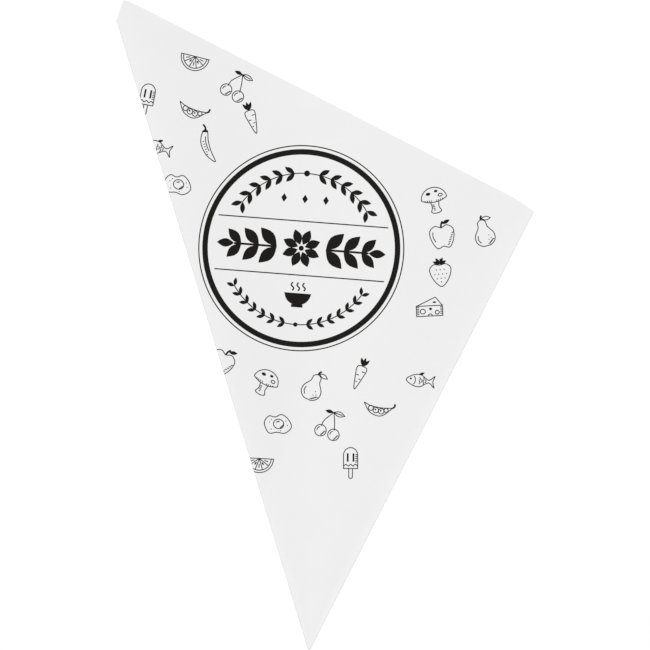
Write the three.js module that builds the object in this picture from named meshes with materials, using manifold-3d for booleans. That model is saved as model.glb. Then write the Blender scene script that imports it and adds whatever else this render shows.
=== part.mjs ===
// Paper cone bag: one sheet of thin paper, folded flat to a point and glued down its back.
// It lies on its back on z = 0, with its front up and its mouth towards +Y. Millimetres.

import * as THREE from 'three';
import { mergeVertices } from 'three/addons/utils/BufferGeometryUtils.js';
import Module from 'manifold-3d';

// Outline of the flat bag. The glued side is at +X and the plain side at -X.
const tipAngle = THREE.MathUtils.degToRad( 44 );
const gluedSide = 190; // from the point of the tip to the mouth
const lip = 8.6; // the back's mouth edge and the end of the plain fold lie this much lower
const cornerLean = 1.1; // how far the front's free corner leans out past the plain fold's end
const tipWidth = 1; // the blunt end
const tipSeal = 4; // how much of the tip is pressed shut

// The front's free edge falls away a little towards both of its corners.
const gluedCorner = { drop: 1.1, run: 11 };
const freeCorner = { drop: 0.6, run: 5 };
const cornerSteps = 5;

// Paper, its folds and the flap that is glued over the back
const paper = 0.1;
const creaseGap = 0.1; // clear height between front and back beside a fold
const foldSteps = 6;
const flapWidth = 43;
const flapSetback = 0.35; // keeps the flap's cut edge inside the plain fold
const glueBite = 0.02; // how far the glued flap and back share their thickness

// How far the front springs up from the back, at the middle of the mouth
const gape = 10;
const archPower = 1.4; // above 1 the front leaves its folds at a flatter angle
const archSteps = 28;

const paperColour = 0xeeeeee;

// Levels, from the surface that the bag lies on
const backUnder = paper;
const backTop = 2 * paper;
const frontUnder = backTop + creaseGap;
const frontTop = frontUnder + paper;
const gluedFold = frontTop / 2; // radius of the fold that the flap wraps round
const plainFold = ( frontTop - backUnder ) / 2;
const flapRoot = 1.5 * paper; // flat stretch of flap that is made with the glued fold

const half = tipAngle / 2;
const alongSide = new THREE.Vector2( Math.sin( half ), Math.cos( half ) );
const inFromSide = new THREE.Vector2( - Math.cos( half ), Math.sin( half ) );
const tipY = tipWidth / 2 / Math.tan( half );
const mouthMiddleY = gluedSide / Math.cos( half );
const backEdge = gluedSide - lip; // where the back and the plain fold end, measured up the glued side
const foldEndIn = backEdge * Math.tan( tipAngle );
const mouthEdge = foldEndIn + cornerLean; // the front's free edge, square to the glued side
const clear = 10; // how far cutting shapes reach past the paper

// A point of the flat bag, so far up the glued side and so far in from it
function at( along, inward ) {

	return alongSide.clone().multiplyScalar( along ).addScaledVector( inFromSide, inward );

}

const farY = at( gluedSide, mouthEdge ).y + clear;

// Distance across the bag at y, from its middle to a line that lies inset from a fold
function foldX( y, inset ) {

	return y * Math.tan( half ) - inset / Math.cos( half );

}

// Height of the front over its folds: it grows along straight lines from the tip
function archHeight( y, across ) {

	const rise = gape * ( y - tipY ) / ( mouthMiddleY - tipY );
	return rise * Math.sin( Math.PI * across ) ** archPower;

}

// Points of the arched front across the bag, between the middles of its two folds
function archPoints( y, level ) {

	const from = - foldX( y, plainFold );
	const to = foldX( y, gluedFold );
	const points = [];
	for ( let i = 0; i <= archSteps; i ++ ) {

		const across = i / archSteps;
		const x = THREE.MathUtils.lerp( from, to, across );
		points.push( new THREE.Vector2( x, level + archHeight( y, across ) ) );

	}

	return points;

}

// Half round of a fold, from bottom to top. side is -1 at the plain fold and 1 at the glued one.
function foldPoints( y, radius, bottom, side ) {

	const middle = side * foldX( y, radius );
	const points = [];
	for ( let k = 0; k < foldSteps; k ++ ) {

		const turn = Math.PI * ( k / foldSteps - 0.5 );
		const x = middle + side * Math.cos( turn ) * radius / Math.cos( half );
		points.push( new THREE.Vector2( x, bottom + radius + radius * Math.sin( turn ) ) );

	}

	return points;

}

// Section of the folded paper's outside at y, clockwise from the bottom of the plain fold
function outsideSection( y ) {

	const root = foldX( y, gluedFold + flapRoot );
	return [
		...foldPoints( y, plainFold, backUnder, - 1 ),
		...archPoints( y, frontTop ),
		...foldPoints( y, gluedFold, 0, 1 ).reverse(),
		new THREE.Vector2( root, 0 ),
		new THREE.Vector2( root, backUnder ),
	];

}

// Section of the hollow between front and back at y
function hollowSection( y ) {

	return [
		new THREE.Vector2( - foldX( y, plainFold ), backTop ),
		...archPoints( y, frontUnder ),
		new THREE.Vector2( foldX( y, gluedFold ), backTop ),
	];

}

// Closed body between the same section at two places along y
function loft( section, nearY, endY ) {

	const near = section( nearY );
	const end = section( endY );
	const count = near.length;
	const positions = [];
	for ( const p of near ) positions.push( p.x, nearY, p.y );
	for ( const p of end ) positions.push( p.x, endY, p.y );

	const index = [];
	for ( let i = 0; i < count; i ++ ) {

		const next = ( i + 1 ) % count;
		index.push( i, next, count + i );
		index.push( next, count + next, count + i );

	}

	for ( const [ a, b, c ] of THREE.ShapeUtils.triangulateShape( near, [] ) ) index.push( a, b, c );
	for ( const [ a, b, c ] of THREE.ShapeUtils.triangulateShape( end, [] ) ) {

		index.push( count + a, count + c, count + b );

	}

	const geometry = new THREE.BufferGeometry();
	geometry.setAttribute( 'position', new THREE.Float32BufferAttribute( positions, 3 ) );
	geometry.setIndex( index );
	return geometry;

}

// Upright block over an outline in x and y
function block( shape, bottom, top ) {

	const depth = top - bottom;
	const geometry = new THREE.ExtrudeGeometry( shape, { depth, bevelEnabled: false, curveSegments: cornerSteps } );
	return geometry.translate( 0, 0, bottom );

}

// Trims the mouth: the front's free edge, its clipped corner and nothing else
function mouthOutline() {

	const shape = new THREE.Shape();
	const foldEnd = at( backEdge, foldEndIn );
	const corner = at( gluedSide - freeCorner.drop, mouthEdge );
	const pastFold = foldEnd.clone().lerp( corner, - 1 );
	const gluedEnd = at( gluedSide - gluedCorner.drop, 0 );
	const gluedStart = at( gluedSide, gluedCorner.run );
	const gluedMiddle = at( gluedSide, gluedCorner.run / 2 );
	const freeStart = at( gluedSide, mouthEdge - freeCorner.run );
	const freeMiddle = at( gluedSide, mouthEdge - freeCorner.run / 2 );
	const pastGlued = at( gluedSide - gluedCorner.drop, - clear );
	const below = at( - clear, - clear );
	const belowPlain = at( - clear, clear );
	const besidePlain = at( pastFold.dot( alongSide ), mouthEdge + clear );

	shape.moveTo( below.x, below.y );
	shape.lineTo( pastGlued.x, pastGlued.y );
	shape.lineTo( gluedEnd.x, gluedEnd.y );
	shape.quadraticCurveTo( gluedMiddle.x, gluedMiddle.y, gluedStart.x, gluedStart.y );
	shape.lineTo( freeStart.x, freeStart.y );
	shape.quadraticCurveTo( freeMiddle.x, freeMiddle.y, corner.x, corner.y );
	shape.lineTo( pastFold.x, pastFold.y );
	shape.lineTo( besidePlain.x, besidePlain.y );
	shape.lineTo( belowPlain.x, belowPlain.y );
	return shape;

}

// What the back lacks above its own mouth edge, which lies lower than the front's
function lipOutline() {

	const inward = gluedFold + flapRoot / 2;
	return new THREE.Shape( [
		at( backEdge, inward ),
		at( gluedSide + clear, inward ),
		at( gluedSide + clear, mouthEdge + clear ),
		at( backEdge, mouthEdge + clear ),
	] );

}

// The flap: an even strip beside the glued fold, cut off along the plain fold near the tip
function flapOutline() {

	const root = gluedFold + flapRoot / 4;
	const setback = plainFold + flapSetback;
	const crossing = ( setback + flapWidth * Math.cos( tipAngle ) ) / Math.sin( tipAngle );
	return new THREE.Shape( [
		new THREE.Vector2( - foldX( tipY, setback ), tipY ),
		new THREE.Vector2( foldX( tipY, root ), tipY ),
		at( gluedSide + clear, root ),
		at( gluedSide + clear, flapWidth ),
		at( crossing, flapWidth ),
	] );

}

const wasm = await Module();
wasm.setup();

function solid( geometry ) {

	const bare = geometry.clone();
	bare.deleteAttribute( 'normal' );
	bare.deleteAttribute( 'uv' );
	const merged = mergeVertices( bare, 1e-5 );
	return new wasm.Manifold( new wasm.Mesh( {
		numProp: 3,
		vertProperties: new Float32Array( merged.attributes.position.array ),
		triVerts: new Uint32Array( merged.index.array ),
	} ) );

}

function coneBag() {

	const outside = solid( loft( outsideSection, tipY, farY ) );
	const hollow = solid( loft( hollowSection, tipY + tipSeal, farY + clear ) );
	const lip = solid( block( lipOutline(), - clear, frontUnder - creaseGap / 2 ) );
	const flap = solid( block( flapOutline(), 0, backUnder + glueBite ) );
	const outline = solid( block( mouthOutline(), - clear, gape + 2 * clear ) );
	const folded = outside.subtract( hollow ).subtract( lip ).add( flap ).intersect( outline );

	const { vertProperties, triVerts } = folded.getMesh();
	const geometry = new THREE.BufferGeometry();
	geometry.setAttribute( 'position', new THREE.BufferAttribute( vertProperties, 3 ) );
	geometry.setIndex( new THREE.BufferAttribute( triVerts, 1 ) );
	geometry.computeVertexNormals();

	const material = new THREE.MeshStandardMaterial( { color: paperColour, roughness: 0.85, metalness: 0 } );
	const mesh = new THREE.Mesh( geometry, material );
	mesh.name = 'cone_bag';
	return mesh;

}

const group = new THREE.Group();
const bag = coneBag();
const middle = new THREE.Box3().setFromObject( bag ).getCenter( new THREE.Vector3() );
bag.position.set( - middle.x, - middle.y, 0 );
group.add( bag );

export default group;
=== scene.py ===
# Paper cone bag, seen from above: one printed sheet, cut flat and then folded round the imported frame.

import math

import bpy
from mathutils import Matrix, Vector
from mathutils.geometry import delaunay_2d_cdt
from mathutils.noise import noise


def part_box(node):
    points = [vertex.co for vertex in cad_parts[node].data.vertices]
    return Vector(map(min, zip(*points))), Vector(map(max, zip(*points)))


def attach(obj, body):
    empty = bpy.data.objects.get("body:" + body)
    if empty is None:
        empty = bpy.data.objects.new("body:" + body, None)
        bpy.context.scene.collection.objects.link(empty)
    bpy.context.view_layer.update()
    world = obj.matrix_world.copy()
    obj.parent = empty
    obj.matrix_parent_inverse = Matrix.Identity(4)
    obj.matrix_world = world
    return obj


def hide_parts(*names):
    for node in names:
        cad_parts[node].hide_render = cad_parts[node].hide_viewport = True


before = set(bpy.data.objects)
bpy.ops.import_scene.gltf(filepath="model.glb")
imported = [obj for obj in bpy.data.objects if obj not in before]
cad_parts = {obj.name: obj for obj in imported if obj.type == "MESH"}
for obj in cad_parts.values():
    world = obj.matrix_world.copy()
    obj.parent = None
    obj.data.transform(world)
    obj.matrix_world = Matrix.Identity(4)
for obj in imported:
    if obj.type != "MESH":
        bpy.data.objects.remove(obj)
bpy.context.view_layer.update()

# Sizes are in millimetres and become metres where a mesh is made. The sheet is worked out with the
# cone's tip at the origin, its axis along +Y, the glued side at +X and the plain side at -X.
MM = 0.001
TIP_ANGLE = math.radians(44)
GLUED_SIDE = 190
LIP = 8.6  # how much lower the back's mouth edge lies
CORNER_LEAN = 1.1
TIP_WIDTH = 1
GLUED_CORNER_DROP, GLUED_CORNER_RUN = 1.1, 11
FREE_CORNER_DROP, FREE_CORNER_RUN = 0.6, 5
CORNER_STEPS = 8

PAPER = 0.1
CREASE_GAP = 0.1
FLAP_WIDTH = 43
FLAP_SETBACK = 0.35
BACK_SETBACK = 1.5  # the back's free edge stays this far inside the glued fold
FOLD_STEPS = 8

GAPE = 10
ARCH_POWER = 1.4
SETTLE_RUN = 5  # beyond the flap's edge the sheet sinks by its own thickness over this distance
WAVE_HEIGHT = 0.35  # slack of the unsupported paper
WAVE_LENGTH = 60
ACROSS_STEPS = 48
ALONG_STEP = 4
EDGE_MARGIN = 1.5  # points inside the sheet keep this far from its cut edges
LONGEST_STRETCH = 2.5  # a drawn or cut edge has a point at least this often, to follow the arch
NORMAL_STEP = 0.004  # half the distance over which the sheet's slope is taken
MERGE_DISTANCE = 1e-4

# Painted shade: past the flap's free edge, where the front lies on two layers only and low enough, its
# colour is made darker, standing in for less light coming through the sheet. It fades in across that edge
# and out by height.
SHADE_FROM, SHADE_TO = -0.3, 0.5
SHADE_LOW, SHADE_HIGH = 3, 11
# Colour that the painted shade multiplies the paper by
PAINTED_SHADE_TONE = 0.989

# Print: a round badge and small drawings, at the scale that such bags carry
BADGE = Vector((-16.5, 153.2))
BADGE_TURN = math.radians(0.6)
OUTER_RING = (38.9, 39.35)
BOLD_RING = (35.7, 37.8)
RULE_REACH, RULE_HEIGHT, RULE_WIDTH = 32.5, 10.3, 0.45
UPPER_GARLAND = {"radius": 28.6, "first": 146, "last": 34, "count": 13, "length": 4.6}
LOWER_GARLAND = {"radius": 29.2, "first": 214, "last": 326, "count": 15, "length": 3.4}
DIAMOND_HEIGHT, DIAMOND_SPACING = 18.8, 8
BOWL_HEIGHT = -17.6
PETALS, PETAL_START, PETAL_LENGTH = 8, 1.4, 6.2
SPRAY_START, SPRAY_SPACING = 9.4, 6.8
SPRAY_LEAVES = (9.4, 8.6, 7.6)  # lengths of the pairs, from the middle outwards
SPRAY_END_LEAF = 6.6
GARLAND_LEAN, SPRAY_LEAN = 38, 46  # degrees between a leaf and its stem
GARLAND_STEM, SPRAY_STEM = 0.4, 0.8
STEAM_LINE = 0.55
THIN_LINE = 0.35
ROUND_STEPS = 144

# Picture
FRAME_PIXELS = 650
FRAME_WIDTH = 248.2
TIP_PIXEL = (309.0, 651.75)
AXIS_LEAN = math.radians(5.05)
LENS = 1000
SENSOR = 36
FLOOR_REACH = 3000
FLOOR_GLOW = 0.02  # keeps the floor white where the bag dims it only a little
EVEN_LIGHT = 0.35  # share of the light that comes from all round
LAMP_LEAN = math.radians(26)  # towards the mouth
LAMP_SPREAD = math.radians(40)

BACK_UNDER = PAPER
FRONT_TOP = 3 * PAPER + CREASE_GAP
GLUED_FOLD = FRONT_TOP / 2
PLAIN_FOLD = (FRONT_TOP - BACK_UNDER) / 2

HALF = TIP_ANGLE / 2
ALONG = Vector((math.sin(HALF), math.cos(HALF)))
INWARD = Vector((-math.cos(HALF), math.sin(HALF)))
PLAIN_OUT = Vector((-math.cos(HALF), -math.sin(HALF)))
GLUED_OUT = -INWARD
TIP_Y = TIP_WIDTH / 2 / math.tan(HALF)
MOUTH_MIDDLE_Y = GLUED_SIDE / math.cos(HALF)
BACK_EDGE = GLUED_SIDE - LIP
FOLD_END_IN = BACK_EDGE * math.tan(TIP_ANGLE)
MOUTH_EDGE = FOLD_END_IN + CORNER_LEAN


def at(along, inward):
    """A point so far up the glued side and so far in from it."""
    return ALONG * along + INWARD * inward


def fold_x(y, inset):
    return y * math.tan(HALF) - inset / math.cos(HALF)


# The frame stands on the middle of its box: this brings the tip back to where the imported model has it.
cad_low, cad_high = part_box("cone_bag")
SHIFT = Vector((
    cad_high.x - at(GLUED_SIDE - GLUED_CORNER_DROP, 0).x * MM,
    cad_low.y - TIP_Y * MM,
    cad_low.z,
))


def smooth(t):
    t = min(max(t, 0), 1)
    return t * t * (3 - 2 * t)


def front_height(x, y):
    """How far the front stands over its folds: an arch on straight lines from the tip, with slack in it."""
    left = -fold_x(y, PLAIN_FOLD)
    right = fold_x(y, GLUED_FOLD)
    across = min(max((x - left) / (right - left), 0), 1)
    up = (y - TIP_Y) / (MOUTH_MIDDLE_Y - TIP_Y)
    crown = math.sin(math.pi * across)
    slack = noise(Vector((x / WAVE_LENGTH, y / WAVE_LENGTH / 2, 0)))
    return GAPE * up * crown ** ARCH_POWER + WAVE_HEIGHT * slack * min(up, 1) * crown ** 2


def settle(x, y):
    """How far the layers sink where the flap no longer lies under them."""
    inward = Vector((x, y)).dot(INWARD)
    return PAPER * smooth((inward - FLAP_WIDTH) / SETTLE_RUN)


def folded(point, depth):
    """Where a point of the flat printed sheet comes to lie. depth counts from the printed side."""
    x, y = point
    z = FRONT_TOP - depth
    bends = ((PLAIN_OUT, PLAIN_FOLD, BACK_UNDER), (GLUED_OUT, GLUED_FOLD, 0))
    for outward, radius, bottom in bends:
        beyond = point.dot(outward) + radius
        if beyond > 0:
            turn = min(beyond / radius, math.pi)
            flat = beyond - turn * radius
            reach = (radius - depth) * math.sin(turn) - flat
            x, y = point + outward * (reach - beyond)
            z = bottom + radius + (radius - depth) * math.cos(turn)
            return Vector((x, y, z - settle(x, y)))
    return Vector((x, y, z + front_height(x, y) - settle(x, y)))


def unfolded(point, outward, radius):
    """Place on the flat sheet of a point that lies under the front, past the fold on that side."""
    inside = -point.dot(outward) - radius
    return point + outward * (2 * inside + math.pi * radius)


def on_back(point):
    return unfolded(point, PLAIN_OUT, PLAIN_FOLD)


def on_flap(point):
    return unfolded(point, GLUED_OUT, GLUED_FOLD)


def quadratic(start, control, end, steps):
    ts = [i / steps for i in range(steps + 1)]
    return [start * (1 - t) ** 2 + control * 2 * t * (1 - t) + end * t * t for t in ts]


def trail(spots, closed=True):
    """The spots in order, with more between them where they are far apart."""
    made = []
    for start, end in zip(spots, spots[1:] + spots[:1] if closed else spots[1:]):
        count = math.ceil((end - start).length / LONGEST_STRETCH)
        made += [start.lerp(end, k / count) for k in range(count)]
    return made if closed else made + spots[-1:]


def over_fold(point, outward, radius):
    """Points of the sheet's cut edge where it runs square across a fold."""
    step = math.pi * radius / FOLD_STEPS
    return [point + outward * step * k for k in range(FOLD_STEPS + 1)]


def sheet_edges():
    """The flat sheet's outline, and the lines along its two folds."""
    glued_top = at(GLUED_SIDE - GLUED_CORNER_DROP, GLUED_FOLD)
    glued_curve = quadratic(
        glued_top, at(GLUED_SIDE, GLUED_CORNER_RUN / 2), at(GLUED_SIDE, GLUED_CORNER_RUN), CORNER_STEPS
    )
    free_curve = quadratic(
        at(GLUED_SIDE, MOUTH_EDGE - FREE_CORNER_RUN),
        at(GLUED_SIDE, MOUTH_EDGE - FREE_CORNER_RUN / 2),
        at(GLUED_SIDE - FREE_CORNER_DROP, MOUTH_EDGE),
        CORNER_STEPS,
    )
    plain_top = at(BACK_EDGE, FOLD_END_IN) - PLAIN_OUT * PLAIN_FOLD
    plain_tip = Vector((-fold_x(TIP_Y, PLAIN_FOLD), TIP_Y))
    glued_tip = Vector((fold_x(TIP_Y, GLUED_FOLD), TIP_Y))
    plain_over_top = over_fold(plain_top, PLAIN_OUT, PLAIN_FOLD)
    plain_over_tip = over_fold(plain_tip, PLAIN_OUT, PLAIN_FOLD)
    glued_over_top = over_fold(glued_top, GLUED_OUT, GLUED_FOLD)
    glued_over_tip = over_fold(glued_tip, GLUED_OUT, GLUED_FOLD)
    setback = PLAIN_FOLD + FLAP_SETBACK
    crossing = (setback + FLAP_WIDTH * math.cos(TIP_ANGLE)) / math.sin(TIP_ANGLE)
    outline = [
        *glued_curve,
        *free_curve,
        *plain_over_top,
        on_back(at(BACK_EDGE, BACK_SETBACK)),
        on_back(Vector((fold_x(TIP_Y, GLUED_FOLD), TIP_Y))),
        *plain_over_tip[::-1],
        *glued_over_tip,
        on_flap(Vector((-fold_x(TIP_Y, setback), TIP_Y))),
        on_flap(at(crossing, FLAP_WIDTH)),
        on_flap(at(GLUED_SIDE, FLAP_WIDTH)),
        *[on_flap(p) for p in glued_curve[:0:-1]],
        *glued_over_top[:0:-1],
    ]
    folds = [*zip(plain_over_tip, plain_over_top), *zip(glued_over_tip, glued_over_top)]
    return trail(outline), folds


def inner_points():
    """Points spread over front and back, so that the sheet can take the arch and the slack."""
    points = []
    rows = int(at(GLUED_SIDE, MOUTH_EDGE).y / ALONG_STEP)
    for row in range(1, rows):
        y = TIP_Y + row * ALONG_STEP
        count = max(4, round(ACROSS_STEPS * min(1, row * ALONG_STEP / MOUTH_MIDDLE_Y)))
        for i in range(1, count):
            left = -fold_x(y, PLAIN_FOLD)
            right = fold_x(y, GLUED_FOLD)
            point = Vector((left + (right - left) * i / count, y))
            up = point.dot(ALONG)
            if up < GLUED_SIDE - EDGE_MARGIN:
                points.append(point)
            if up < BACK_EDGE - EDGE_MARGIN and point.dot(INWARD) > BACK_SETBACK + EDGE_MARGIN:
                points.append(on_back(point))
    return points


class Print:
    """What is printed, as faces on the flat sheet."""

    def __init__(self):
        self.points = []
        self.faces = []

    def face(self, corners):
        area = sum(a.cross(b) for a, b in zip(corners, corners[1:] + corners[:1]))
        if area < 0:
            corners = corners[::-1]
        first = len(self.points)
        self.points.extend(corners)
        self.faces.append(list(range(first, first + len(corners))))


class Pen:
    """Draws round one place of the sheet, in millimetres."""

    def __init__(self, ink, place, turn=0.0, size=1.0):
        self.ink = ink
        self.place = place
        self.turn = turn
        self.size = size

    def to_sheet(self, x, y):
        c = math.cos(self.turn) * self.size
        s = math.sin(self.turn) * self.size
        return self.place + Vector((c * x - s * y, s * x + c * y))

    def area(self, points):
        self.ink.face(trail([self.to_sheet(x, y) for x, y in points]))

    def line(self, points, width=THIN_LINE, closed=False):
        """An even line through the points, as one face for each stretch."""
        spots = trail([self.to_sheet(x, y) for x, y in points], closed)
        ways = [(end - start).normalized() for start, end in zip(spots, spots[1:] + spots[:1])]
        if not closed:
            ways[-1] = ways[-2]
        sides = []
        for i, (spot, out) in enumerate(zip(spots, ways)):
            into = ways[i - 1] if i or closed else out
            way = (into + out).normalized()
            across = Vector((-way.y, way.x)) * (width / 2 / max(way.dot(out), 0.5))
            sides.append((spot + across, spot - across))
        ends = sides[1:] + (sides[:1] if closed else [])
        for (left, right), (next_left, next_right) in zip(sides, ends):
            self.ink.face([left, right, next_right, next_left])


def oval(x, y, rx, ry, start=0, end=360, steps=20):
    count = max(2, round(steps * abs(end - start) / 360))
    whole = abs(end - start) == 360
    turns = [math.radians(start + (end - start) * i / count) for i in range(count + (not whole))]
    return [(x + rx * math.cos(a), y + ry * math.sin(a)) for a in turns]


def curve(points, closed=False, steps=5):
    """A smooth line through a few points."""
    spots = [Vector(p) for p in points]
    count = len(spots)
    made = []
    for i in range(count if closed else count - 1):
        p1 = spots[i]
        p2 = spots[(i + 1) % count]
        p0 = spots[i - 1] if closed or i else p1 * 2 - p2
        p3 = spots[(i + 2) % count] if closed or i + 2 < count else p2 * 2 - p1
        for k in range(steps):
            t = k / steps
            slow = (p2 - p0) * t
            fast = (p0 * 2 - p1 * 5 + p2 * 4 - p3) * t ** 2
            fastest = (p1 * 3 - p0 - p2 * 3 + p3) * t ** 3
            made.append(tuple(p1 + (slow + fast + fastest) / 2))
    if not closed:
        made.append(tuple(spots[-1]))
    return made


def leaf_shape(x, y, length, turn, width=0.42):
    """Pointed leaf that starts at x, y and grows along turn, in degrees."""
    c = math.cos(math.radians(turn))
    s = math.sin(math.radians(turn))
    steps = 6
    parts = [k / steps for k in range(steps + 1)]
    side = [(length * t, length * width / 2 * math.sin(math.pi * t)) for t in parts]
    around = side + [(u, -v) for u, v in side[-2:0:-1]]
    return [(x + u * c - v * s, y + u * s + v * c) for u, v in around]


def ray(x, y, turn, *reaches):
    """Points so far from x, y, all of them in the direction turn, in degrees."""
    a = math.radians(turn)
    return [(x + reach * math.cos(a), y + reach * math.sin(a)) for reach in reaches]


def hatching(pen, start, step, reach, count):
    """Short parallel strokes that shade one side of a drawing."""
    for i in range(count):
        x = start[0] + step[0] * i
        y = start[1] + step[1] * i
        pen.line([(x, y), (x + reach[0], y + reach[1])])


def apple(pen):
    right = [(0, 3.2), (2.3, 4.0), (4.5, 2.3), (4.3, -1.2), (2.4, -4.5), (0, -3.9)]
    left = [(-x, y) for x, y in right[-2:0:-1]]
    pen.line(curve(right + left, closed=True), closed=True)
    pen.line(curve([(0, 3.0), (0.2, 4.4), (0.9, 5.6)]), 2 * THIN_LINE)
    pen.area(leaf_shape(0.6, 4.6, 3.4, 20))
    pen.line(curve([(-3.3, 1.9), (-3.5, 0), (-2.7, -2.0)]))
    hatching(pen, (1.6, -3.6), (0.42, 0.85), (0.9, 0.35), 6)


def pear(pen):
    right = [(0, 4.9), (1.5, 4.0), (1.8, 2.0), (3.6, -0.8), (3.5, -3.4), (1.8, -5.0), (0, -5.2)]
    left = [(-x, y) for x, y in right[-2:0:-1]]
    pen.line(curve(right + left, closed=True), closed=True)
    pen.line(curve([(0, 4.8), (0.1, 5.7), (0.7, 6.5)]), 2 * THIN_LINE)
    pen.line(leaf_shape(0.4, 5.4, 3.4, -10), closed=True)
    for x, y in ((1.6, -1.4), (2.2, -2.5), (1.2, -3.0)):
        pen.area(oval(x, y, 0.22, 0.22, steps=8))
    pen.line(curve([(-2.5, -0.8), (-2.7, -2.4), (-1.9, -3.8)]))
    hatching(pen, (0.6, -4.6), (0.55, 0.45), (1.0, 0.1), 4)


def cherries(pen):
    for x, y, bend in ((-2.7, -2.9, -1.4), (2.5, -3.6, 1.4)):
        pen.line(oval(x, y, 2.2, 2.2), closed=True)
        pen.line(curve([(x, y + 1.6), (x / 2 + bend / 2, 1.2), (0.9, 4.8)]))
        pen.line(oval(x, y, 1.4, 1.4, 110, 190))
        hatching(pen, (x + 0.1, y - 1.7), (0.35, 0.5), (0.8, 0.2), 4)
    pen.line(leaf_shape(0.9, 4.8, 4.4, -8), closed=True)
    pen.line([(1.2, 4.75), (4.4, 4.3)])
    pen.area(leaf_shape(0.9, 4.8, 3.4, 178))


def carrot(pen):
    root = [(-1.9, 2.5), (0, 3.2), (1.9, 2.5), (1.4, -1.2), (0, -6.0), (-1.4, -1.2)]
    pen.line(curve(root, closed=True), closed=True)
    for turn in (62, 90, 118):
        pen.area(leaf_shape(0, 3.1, 3.6, turn, 0.34))
    for y, side, reach in ((1.2, 1, 1.2), (-0.4, -1, 1.0), (-1.8, 1, 0.8), (-3.0, -1, 0.6)):
        edge = side * (1.75 - (2.0 - y) * 0.22)
        pen.line([(edge, y), (edge - side * reach, y - 0.15)])


def cheese(pen):
    pen.line([(-5.0, -3.0), (5.0, -3.0), (5.0, 0.9), (-5.0, 0.9)], closed=True)
    pen.line([(-5.0, 0.9), (2.4, 4.1)])
    pen.line([(2.4, 4.1), (5.0, 0.9)])
    pen.line(oval(-2.6, -1.2, 1.0, 0.9, steps=14), closed=True)
    pen.line(oval(2.9, -1.7, 0.8, 0.7, steps=14), closed=True)
    pen.area(oval(0.4, -0.3, 0.6, 0.5, steps=12))
    pen.area(oval(2.0, 2.2, 0.7, 0.35, steps=12))
    pen.line(oval(0.2, -3.0, 0.8, 0.8, 0, 180, steps=16))
    hatching(pen, (-4.8, 0.4), (0, -0.65), (0.9, 0), 5)
    hatching(pen, (4.1, 0.4), (0, -0.65), (0.7, 0), 5)


def fish(pen):
    top = [(-5.4, 0), (-3.0, 1.9), (0, 2.3), (3.2, 0.5), (5.4, 2.2), (4.8, 0)]
    bottom = [(x, -y) for x, y in top[-2:0:-1]]
    pen.line(curve(top + bottom, closed=True), closed=True)
    pen.area(oval(-3.7, 0.5, 0.4, 0.4, steps=10))
    pen.line(oval(-3.4, 0, 1.5, 1.9, -55, 55))
    for x, y in ((-0.6, 0.7), (0.9, 0.7), (-0.6, -0.7), (0.9, -0.7), (0.2, 0), (1.7, 0)):
        pen.line(oval(x, y, 0.5, 0.55, -80, 80))
    pen.area(leaf_shape(-0.8, 2.2, 2.4, 24))


def lemon_slice(pen):
    middle, peel, flesh = 2.2, 5.4, 4.5
    for radius in (peel, flesh):
        pen.line(oval(0, middle, radius, radius, 180, 360, steps=36))
    pen.line([(-5.6, middle), (5.6, middle)])
    for turn in (216, 252, 288, 324):
        pen.line(ray(0, middle, turn, 0, flesh))
    for turn in (234, 306):
        x, y = ray(0, middle, turn, 1.6)[0]
        pen.area(leaf_shape(x, y, 1.5, turn))
    for turn in (198, 270, 342):
        pen.line(ray(0, middle, turn, 2.0, 3.6))


def mushroom(pen):
    pen.line(oval(0, 0.4, 4.9, 4.4, 0, 180, steps=36))
    pen.line(curve([(-4.9, 0.4), (-2.0, -0.7), (2.0, -0.7), (4.9, 0.4)]))
    stem = [(-1.6, -0.7), (-1.3, -2.8), (-1.9, -4.5), (0, -5.1), (1.9, -4.5), (1.3, -2.8), (1.6, -0.7)]
    pen.line(curve(stem))
    pen.area(oval(-1.9, 2.6, 0.9, 0.6, steps=12))
    pen.area(oval(1.2, 3.2, 0.7, 0.5, steps=12))
    pen.line(oval(2.6, 1.5, 0.8, 0.55, steps=12), closed=True)
    hatching(pen, (-3.6, 0.35), (0.8, -0.1), (0.15, -0.6), 4)
    hatching(pen, (0.9, -0.1), (0.8, 0.1), (-0.15, -0.5), 4)
    hatching(pen, (-1.1, -1.8), (0.05, -0.65), (0.8, -0.1), 4)


def chilli(pen):
    pod = [(-4.3, 3.4), (-2.7, 4.1), (-1.0, 1.6), (1.8, -1.4), (5.4, -4.3), (1.0, -3.7), (-3.0, -0.6)]
    pen.line(curve(pod, closed=True), closed=True)
    pen.line(curve([(-3.7, 4.0), (-4.2, 5.2), (-5.6, 5.9)]), 2 * THIN_LINE)
    pen.area(curve([(-4.7, 3.2), (-3.9, 4.7), (-2.5, 4.5), (-3.3, 3.7)], closed=True, steps=3))
    pen.line(curve([(-2.6, 2.3), (-1.2, 0.2), (1.2, -1.9)]))
    hatching(pen, (-2.6, 0.0), (0.75, -0.7), (0.5, 0.35), 6)


def strawberry(pen):
    right = [(0, 3.0), (2.4, 3.3), (4.1, 1.4), (2.9, -2.4), (0, -5.2)]
    left = [(-x, y) for x, y in right[-2:0:-1]]
    pen.line(curve(right + left, closed=True), closed=True)
    for turn in (25, 62, 118, 155):
        pen.area(leaf_shape(0, 3.3, 2.9, turn))
    pen.line([(0, 3.3), (0.3, 5.4)])
    for row, (y, count) in enumerate(((1.2, 3), (-0.5, 4), (-2.1, 3), (-3.5, 1))):
        for i in range(count):
            x = (i - (count - 1) / 2) * 1.5
            pen.line([(x, y + 0.3), (x, y - 0.2)])


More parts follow.
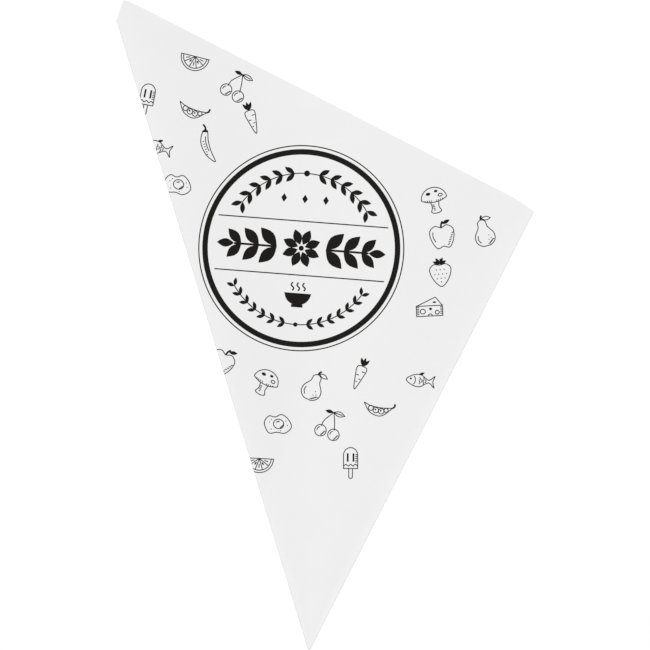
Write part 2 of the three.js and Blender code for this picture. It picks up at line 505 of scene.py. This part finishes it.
def ice_lolly(pen):
    pen.line([(-2.7, -2.2)] + oval(0, 2.9, 2.7, 2.9, 180, 0, steps=28) + [(2.7, -2.2)], closed=True)
    pen.line([(-0.7, -2.2)] + oval(0, -5.4, 0.7, 0.6, 180, 360, steps=12) + [(0.7, -2.2)])
    for x in (-1.1, 1.1):
        pen.line([(x, 0.4), (x, 3.6)], 2 * THIN_LINE)
    hatching(pen, (1.8, 0.2), (0, 0.7), (0.7, 0.15), 5)
    drips = [(0.9 * k - 2.7, -0.6 if k % 2 else -1.3) for k in range(7)]
    pen.line(curve(drips))


def pea_pod(pen):
    pen.line(curve([(-5.6, 1.9), (-2.8, -1.6), (1.6, -2.4), (5.6, 1.2)]))
    pen.line(curve([(-5.6, 1.9), (-2.6, 0.9), (1.8, 0.7), (5.6, 1.2)]))
    for x, y, r in ((-2.7, 0.1, 0.95), (-0.7, -0.5, 1.05), (1.4, -0.6, 1.05), (3.2, 0.0, 0.8)):
        pen.line(oval(x, y, r, r, steps=14), closed=True)
    pen.area(oval(-0.9, -0.3, 0.35, 0.35, steps=10))
    pen.area(oval(1.2, -0.4, 0.35, 0.35, steps=10))
    pen.line(curve([(5.6, 1.2), (6.2, 1.9), (6.2, 2.9)]), 2 * THIN_LINE)


def fried_egg(pen):
    upper = [(-5.2, -0.6), (-4.2, 2.4), (-1.8, 2.6), (0.4, 4.2), (3.4, 3.0), (5.2, 0.4)]
    lower = [(3.4, -2.4), (0.4, -2.8), (-2.6, -3.8)]
    pen.line(curve(upper + lower, closed=True), closed=True)
    pen.line(oval(0.2, 0.4, 2.0, 1.8), closed=True)
    pen.area(curve([(-1.0, 0.7), (-0.4, 1.4), (0.4, 1.6), (-0.1, 1.0)], closed=True, steps=3))
    for x, y in ((-3.4, 0.2), (3.6, 0.8), (-2.0, -2.2), (-2.9, 1.4), (2.6, 2.2), (1.6, -1.9)):
        pen.area(oval(x, y, 0.22, 0.22, steps=8))
    hatching(pen, (1.0, -0.8), (0.25, 0.4), (0.6, 0.2), 4)


DRAWINGS = (
    apple, fish, carrot, cheese, cherries, mushroom, lemon_slice,
    chilli, strawberry, pea_pod, pear, ice_lolly, fried_egg,
)

# Small drawings stand on arcs round the badge: radius, first and last direction in degrees, how many
ARCS = (
    (53, 240, 300, 4),
    (68, 251, 317, 5),
    (84, 264, 288, 2),
    (54, -20, 25, 4),
    (70, 10, 10, 1),
    (53, 116, 158, 3),
    (67, 117, 150, 3),
    (82, 125, 141, 2),
)


def drawings(ink):
    """Small food drawings in three loose groups, each turned a little and unlike its neighbours."""
    number = 0
    for radius, first, last, count in ARCS:
        for i in range(count):
            way = math.radians(first + (last - first) * i / max(count - 1, 1))
            place = BADGE + Vector((math.cos(way), math.sin(way))) * radius
            turn = math.radians(number * 53 % 50 - 25)
            draw = DRAWINGS[number * 5 % len(DRAWINGS)]
            draw(Pen(ink, place, turn))
            number += 1


def ring(pen, inner, outer):
    middle = (inner + outer) / 2
    pen.line(oval(0, 0, middle, middle, steps=ROUND_STEPS), outer - inner, closed=True)


def garland(pen, radius, first, last, count, length):
    """Pairs of leaves along an arc, which point away from the berry at its middle."""
    centre = (first + last) / 2
    for i in range(count):
        way = first + (last - first) * i / (count - 1)
        x, y = ray(0, 0, way, radius)[0]
        side = 1 if way > centre else -1
        if abs(way - centre) < 0.01:
            pen.area(oval(x, y, length / 4, length / 4, steps=16))
            continue
        for lean in (GARLAND_LEAN, -GARLAND_LEAN):
            pen.area(leaf_shape(x, y, length, way + side * 90 + lean))
    pen.line(oval(0, 0, radius, radius, first, last, steps=ROUND_STEPS), GARLAND_STEM)


def rosette(pen):
    for k in range(PETALS):
        turn = 360 / PETALS * (k + 0.5)
        x, y = ray(0, 0, turn, PETAL_START)[0]
        pen.area(leaf_shape(x, y, PETAL_LENGTH, turn, 0.55))
    pen.area(oval(0, 0, 1.0, 1.0, steps=20))


def bold_sprays(pen):
    """Leaves that fill the badge's middle band on both sides of the rosette."""
    for side in (1, -1):
        outward = 0 if side > 0 else 180
        for k, length in enumerate(SPRAY_LEAVES):
            x = side * (SPRAY_START + SPRAY_SPACING * k)
            for lean in (SPRAY_LEAN, -SPRAY_LEAN):
                pen.area(leaf_shape(x, 0, length, outward + lean, 0.48))
        end = side * (SPRAY_START + SPRAY_SPACING * (len(SPRAY_LEAVES) - 0.6))
        pen.line([(side * SPRAY_START, 0), (end, 0)], SPRAY_STEM)
        pen.area(leaf_shape(end, 0, SPRAY_END_LEAF, outward, 0.5))


def diamond(pen):
    pen.area([(0, 1.7), (-1.1, 0), (0, -1.7), (1.1, 0)])


def bowl(pen):
    pen.area([(-5.2, 0.4), (5.2, 0.4)] + oval(0, 0.4, 5.0, 4.6, 0, -180, steps=32)[1:-1])
    pen.area([(-2.2, -5.0), (2.2, -5.0), (2.2, -3.9), (-2.2, -3.9)])
    for x in (-2.2, 0, 2.2):
        pen.line(curve([(x, 1.3), (x + 0.5, 2.3), (x - 0.5, 3.4), (x, 4.5)]), STEAM_LINE)


def badge(ink):
    pen = Pen(ink, BADGE, BADGE_TURN)
    ring(pen, *OUTER_RING)
    ring(pen, *BOLD_RING)
    for side in (1, -1):
        pen.line([(-RULE_REACH, side * RULE_HEIGHT), (RULE_REACH, side * RULE_HEIGHT)], RULE_WIDTH)
    garland(pen, **UPPER_GARLAND)
    garland(pen, **LOWER_GARLAND)
    for x in (-DIAMOND_SPACING, 0, DIAMOND_SPACING):
        diamond(Pen(ink, pen.to_sheet(x, DIAMOND_HEIGHT), BADGE_TURN))
    bowl(Pen(ink, pen.to_sheet(0, BOWL_HEIGHT), BADGE_TURN))
    rosette(pen)
    bold_sprays(pen)


def printed():
    ink = Print()
    badge(ink)
    drawings(ink)
    return ink


def painted_shade_mask(nodes, links, position):
    """Mask of the painted shade: 1 where the front lies flat on two layers only, past the flap's edge, and
    0 elsewhere.
    """
    edge = at(0, FLAP_WIDTH) * MM + SHIFT.xy
    away = nodes.new("ShaderNodeVectorMath")
    away.operation = "DOT_PRODUCT"
    away.inputs[1].default_value = (INWARD.x, INWARD.y, 0)
    past = nodes.new("ShaderNodeMapRange")
    past.interpolation_type = "SMOOTHSTEP"
    past.inputs["From Min"].default_value = edge.dot(INWARD) + SHADE_FROM * MM
    past.inputs["From Max"].default_value = edge.dot(INWARD) + SHADE_TO * MM
    parts = nodes.new("ShaderNodeSeparateXYZ")
    low = nodes.new("ShaderNodeMapRange")
    low.interpolation_type = "SMOOTHSTEP"
    low.inputs["From Min"].default_value = SHADE_LOW * MM
    low.inputs["From Max"].default_value = SHADE_HIGH * MM
    low.inputs["To Min"].default_value = 1
    low.inputs["To Max"].default_value = 0
    both = nodes.new("ShaderNodeMath")
    both.operation = "MULTIPLY"
    links.new(position, away.inputs[0])
    links.new(position, parts.inputs[0])
    links.new(away.outputs["Value"], past.inputs["Value"])
    links.new(parts.outputs["Z"], low.inputs["Value"])
    links.new(past.outputs["Result"], both.inputs[0])
    links.new(low.outputs["Result"], both.inputs[1])
    return both.outputs["Value"]


def paper_material():
    """Thin white uncoated paper: cloudy at the scale of a finger, fibrous close up, with painted shade past
    the flap's edge where the front lies low.
    """
    material = bpy.data.materials.new("white_paper")
    material.use_nodes = True
    nodes = material.node_tree.nodes
    links = material.node_tree.links
    shader = nodes["Principled BSDF"]
    shader.inputs["Specular IOR Level"].default_value = 0.25

    place = nodes.new("ShaderNodeTexCoord")
    cloud = nodes.new("ShaderNodeTexNoise")
    cloud.inputs["Scale"].default_value = 70
    cloud.inputs["Detail"].default_value = 4
    tone = nodes.new("ShaderNodeValToRGB")
    tone.color_ramp.elements[0].position = 0.3
    tone.color_ramp.elements[0].color = (0.872, 0.872, 0.871, 1)
    tone.color_ramp.elements[1].position = 0.7
    tone.color_ramp.elements[1].color = (0.882, 0.882, 0.880, 1)
    fibre = nodes.new("ShaderNodeTexNoise")
    fibre.inputs["Scale"].default_value = 2200
    fibre.inputs["Detail"].default_value = 3
    rough = nodes.new("ShaderNodeMapRange")
    rough.inputs["To Min"].default_value = 0.78
    rough.inputs["To Max"].default_value = 0.92
    bump = nodes.new("ShaderNodeBump")
    bump.inputs["Strength"].default_value = 0.5
    bump.inputs["Distance"].default_value = 0.00002
    links.new(place.outputs["Object"], cloud.inputs["Vector"])
    links.new(place.outputs["Object"], fibre.inputs["Vector"])
    links.new(cloud.outputs["Fac"], tone.inputs["Fac"])
    # Painted shade: the paper colour is multiplied darker where the front lies low past the flap's edge
    painted_shade = painted_shade_mask(nodes, links, place.outputs["Object"])
    shade = nodes.new("ShaderNodeMix")
    shade.data_type = "RGBA"
    shade.blend_type = "MULTIPLY"
    shade.inputs["B"].default_value = (PAINTED_SHADE_TONE, PAINTED_SHADE_TONE, PAINTED_SHADE_TONE, 1)
    links.new(painted_shade, shade.inputs["Factor"])
    links.new(tone.outputs["Color"], shade.inputs["A"])
    links.new(shade.outputs["Result"], shader.inputs["Base Color"])
    links.new(fibre.outputs["Fac"], rough.inputs["Value"])
    links.new(rough.outputs["Result"], shader.inputs["Roughness"])
    links.new(fibre.outputs["Fac"], bump.inputs["Height"])
    links.new(bump.outputs["Normal"], shader.inputs["Normal"])
    return material


def ink_material():
    """Black printing ink, a little thinner where the fibres stand up."""
    material = bpy.data.materials.new("black_ink")
    material.use_nodes = True
    nodes = material.node_tree.nodes
    links = material.node_tree.links
    shader = nodes["Principled BSDF"]
    shader.inputs["Specular IOR Level"].default_value = 0.1
    shader.inputs["Roughness"].default_value = 0.6

    place = nodes.new("ShaderNodeTexCoord")
    grain = nodes.new("ShaderNodeTexNoise")
    grain.inputs["Scale"].default_value = 1500
    grain.inputs["Detail"].default_value = 3
    tone = nodes.new("ShaderNodeValToRGB")
    tone.color_ramp.elements[0].position = 0.45
    tone.color_ramp.elements[0].color = (0.0030, 0.0022, 0.0019, 1)
    tone.color_ramp.elements[1].position = 0.8
    tone.color_ramp.elements[1].color = (0.0085, 0.0078, 0.0072, 1)
    links.new(place.outputs["Object"], grain.inputs["Vector"])
    links.new(grain.outputs["Fac"], tone.inputs["Fac"])
    links.new(tone.outputs["Color"], shader.inputs["Base Color"])
    return material


def flat_sheet():
    """Triangles of the flat sheet, with True for each one that carries ink."""
    outline, folds = sheet_edges()
    ink = printed()
    points = outline + [p for fold in folds for p in fold] + inner_points()
    first_fold = len(outline)
    edges = [(first_fold + 2 * i, first_fold + 2 * i + 1) for i in range(len(folds))]
    first_ink = len(points)
    faces = [list(range(len(outline)))]
    faces += [[first_ink + i for i in face] for face in ink.faces]
    points += ink.points
    inside_only = 1
    made = delaunay_2d_cdt(points, edges, faces, inside_only, MERGE_DISTANCE, True)
    spots, _, corners, _, _, came_from = made
    triangles = [(face, len(of) > 1) for face, of in zip(corners, came_from) if 0 in of]
    return spots, triangles


def surface_normal(point, depth):
    """Way that the printed side faces, from how the sheet lies close to the point."""
    aside = Vector((NORMAL_STEP, 0))
    ahead = Vector((0, NORMAL_STEP))
    east = folded(point + aside, depth) - folded(point - aside, depth)
    north = folded(point + ahead, depth) - folded(point - ahead, depth)
    return east.cross(north).normalized()


def paper_piece():
    """The folded sheet as a closed shell: printed side, plain side and the cut edge between them."""
    flat, triangles = flat_sheet()
    used = sorted({i for face, _ in triangles for i in face})
    number = {old: new for new, old in enumerate(used)}
    count = len(used)
    levels = (0, PAPER)
    vertices = [folded(flat[i], depth) * MM + SHIFT for depth in levels for i in used]
    facing = [surface_normal(flat[i], depth) for depth in levels for i in used]

    faces = []
    inked = []
    rim = {}
    for face, ink in triangles:
        a, b, c = (number[i] for i in face)
        faces += [(a, b, c), (count + c, count + b, count + a)]
        inked += [ink, False]
        for start, end in ((a, b), (b, c), (c, a)):
            if (end, start) in rim:
                del rim[end, start]
            else:
                rim[start, end] = True
    sides = len(faces)
    faces += [(end, start, count + start, count + end) for start, end in rim]

    mesh = bpy.data.meshes.new("cone_bag_paper")
    mesh.from_pydata(vertices, [], faces)
    mesh.materials.append(paper_material())
    mesh.materials.append(ink_material())
    normals = []
    for polygon in mesh.polygons:
        if polygon.index < sides:
            polygon.material_index = 1 if inked[polygon.index] else 0
            way = 1 if polygon.index % 2 == 0 else -1
            normals += [facing[v] * way for v in polygon.vertices]
        else:
            normals += [polygon.normal.copy()] * len(polygon.vertices)
    mesh.normals_split_custom_set(normals)
    mesh.update()
    piece = bpy.data.objects.new("cone_bag_paper", mesh)
    bpy.context.scene.collection.objects.link(piece)
    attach(piece, "root")
    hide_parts("cone_bag")


def white_to_camera(nodes, links):
    """1 for what the camera sees directly, in a mirror or through glass."""
    path = nodes.new("ShaderNodeLightPath")
    total = path.outputs["Is Camera Ray"]
    for name in ("Is Glossy Ray", "Is Transmission Ray"):
        either = nodes.new("ShaderNodeMath")
        either.operation = "MAXIMUM"
        links.new(total, either.inputs[0])
        links.new(path.outputs[name], either.inputs[1])
        total = either.outputs[0]
    return total


def floor():
    """Plain white floor that keeps the bag's shadow."""
    reach = FLOOR_REACH * MM
    mesh = bpy.data.meshes.new("floor")
    corners = [(-reach, -reach, 0), (reach, -reach, 0), (reach, reach, 0), (-reach, reach, 0)]
    mesh.from_pydata(corners, [], [(0, 1, 2, 3)])
    material = bpy.data.materials.new("white_floor")
    material.use_nodes = True
    nodes = material.node_tree.nodes
    links = material.node_tree.links
    nodes.clear()
    seen = nodes.new("ShaderNodeBsdfDiffuse")
    seen.inputs["Color"].default_value = (1, 1, 1, 1)
    lift = nodes.new("ShaderNodeEmission")
    lift.inputs["Strength"].default_value = FLOOR_GLOW
    both = nodes.new("ShaderNodeAddShader")
    lighting = nodes.new("ShaderNodeBsdfDiffuse")
    lighting.inputs["Color"].default_value = (0.8, 0.8, 0.8, 1)
    mix = nodes.new("ShaderNodeMixShader")
    output = nodes.new("ShaderNodeOutputMaterial")
    links.new(seen.outputs[0], both.inputs[0])
    links.new(lift.outputs[0], both.inputs[1])
    links.new(white_to_camera(nodes, links), mix.inputs[0])
    links.new(lighting.outputs[0], mix.inputs[1])
    links.new(both.outputs[0], mix.inputs[2])
    links.new(mix.outputs[0], output.inputs["Surface"])
    mesh.materials.append(material)
    piece = bpy.data.objects.new("floor", mesh)
    bpy.context.scene.collection.objects.link(piece)


def light():
    """Even white surroundings and one broad soft lamp."""
    world = bpy.data.worlds.new("studio")
    bpy.context.scene.world = world
    world.use_nodes = True
    nodes = world.node_tree.nodes
    links = world.node_tree.links
    nodes.clear()
    surroundings = nodes.new("ShaderNodeBackground")
    surroundings.inputs["Color"].default_value = (1, 1, 1, 1)
    surroundings.inputs["Strength"].default_value = EVEN_LIGHT
    white = nodes.new("ShaderNodeBackground")
    white.inputs["Color"].default_value = (1, 1, 1, 1)
    mix = nodes.new("ShaderNodeMixShader")
    output = nodes.new("ShaderNodeOutputWorld")
    links.new(white_to_camera(nodes, links), mix.inputs[0])
    links.new(surroundings.outputs[0], mix.inputs[1])
    links.new(white.outputs[0], mix.inputs[2])
    links.new(mix.outputs[0], output.inputs["Surface"])

    lamp = bpy.data.lights.new("soft_lamp", "SUN")
    lamp.energy = (1 - EVEN_LIGHT) * math.pi / math.cos(LAMP_LEAN)
    lamp.angle = LAMP_SPREAD
    holder = bpy.data.objects.new("soft_lamp", lamp)
    holder.rotation_euler = (-LAMP_LEAN, 0, 0)
    bpy.context.scene.collection.objects.link(holder)


def camera():
    """Looks straight down, with the bag's tip at its pixel of the picture."""
    scale = FRAME_WIDTH / FRAME_PIXELS
    right = (FRAME_PIXELS / 2 - TIP_PIXEL[0]) * scale
    up = (TIP_PIXEL[1] - FRAME_PIXELS / 2) * scale
    cosine, sine = math.cos(AXIS_LEAN), math.sin(AXIS_LEAN)
    middle = Vector((right * cosine - up * sine, right * sine + up * cosine, 0))
    data = bpy.data.cameras.new("camera")
    data.lens = LENS
    data.sensor_width = SENSOR
    data.clip_end = 100
    holder = bpy.data.objects.new("camera", data)
    distance = FRAME_WIDTH * LENS / SENSOR
    holder.location = (middle + Vector((0, 0, distance))) * MM + SHIFT
    holder.rotation_euler = (0, 0, AXIS_LEAN)
    bpy.context.scene.collection.objects.link(holder)
    bpy.context.scene.camera = holder


bpy.context.scene.view_settings.view_transform = "Standard"
camera()
light()
floor()
paper_piece()
